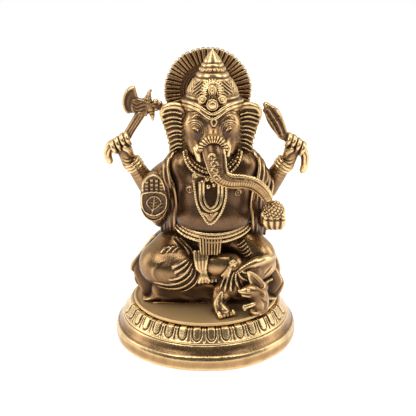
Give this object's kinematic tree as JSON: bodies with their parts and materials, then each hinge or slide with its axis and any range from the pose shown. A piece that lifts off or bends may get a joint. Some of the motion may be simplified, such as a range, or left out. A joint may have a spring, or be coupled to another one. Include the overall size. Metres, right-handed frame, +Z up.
{
  "type": "hindu deity statue",
  "caption": "Seated many-armed elephant-headed deity with halo and mouse on a round lotus plinth, a brass figurine for a shelf or altar.",
  "frame": {"origin": "centre of the plinth's foot, on the surface that the statue stands on", "axes": "+Z up through the crown, -Y the way the figure faces, +X the figure's own left"},
  "size_m": [0.1034, 0.095, 0.152],
  "materials": {
    "brass_body": "antiqued cast brass, rubbed smooth on the high places",
    "brass_polished": "cast brass, bright where the ornament has been rubbed",
    "brass_patina": "cast brass with dark brown patina left in the recesses"
  },
  "bodies": {
    "root": {"plinth": "brass_body", "lotus_band": "brass_polished", "seat_disc": "brass_body", "cushion": "brass_patina", "waist_belt": "brass_polished", "collar_necklace": "brass_polished", "garland": "brass_polished", "garland_pendant": "brass_polished", "right_scarf": "brass_body", "left_scarf": "brass_body", "torso": "brass_body", "head": "brass_body", "crown": "brass_polished", "crown_band": "brass_polished", "crown_crest": "brass_polished", "halo": "brass_patina", "trunk": "brass_body", "trunk_cloth": "brass_polished", "right_tusk": "brass_polished", "left_tusk": "brass_polished", "right_ear": "brass_patina", "left_ear": "brass_patina", "right_thigh": "brass_body", "left_thigh": "brass_body", "right_shin": "brass_body", "left_shin": "brass_body", "left_foot": "brass_body", "left_pleats": "brass_patina", "right_pleats": "brass_patina", "sash": "brass_patina", "right_rear_upper_arm": "brass_body", "right_rear_hand": "brass_body", "right_rear_forearm": "brass_body", "right_bangle": "brass_polished", "left_rear_upper_arm": "brass_body", "left_rear_hand": "brass_body", "left_rear_forearm": "brass_body", "left_bangle": "brass_polished", "right_front_upper_arm": "brass_body", "right_front_forearm": "brass_body", "left_front_upper_arm": "brass_body", "left_front_forearm": "brass_body", "right_palm": "brass_body", "left_front_hand": "brass_body", "sweet_ball": "brass_polished", "axe_handle": "brass_patina", "axe_handle_tail": "brass_body", "axe_blade": "brass_patina", "axe_collar": "brass_patina", "axe_finial": "brass_patina", "lotus_bud": "brass_patina", "bud_stem_tail": "brass_body", "mouse_body": "brass_body", "mouse_ear": "brass_body", "mouse_paws": "brass_body", "right_scarf_end": "brass_body", "left_scarf_end": "brass_body", "bolster": "brass_patina"}
  },
  "joints": []
}
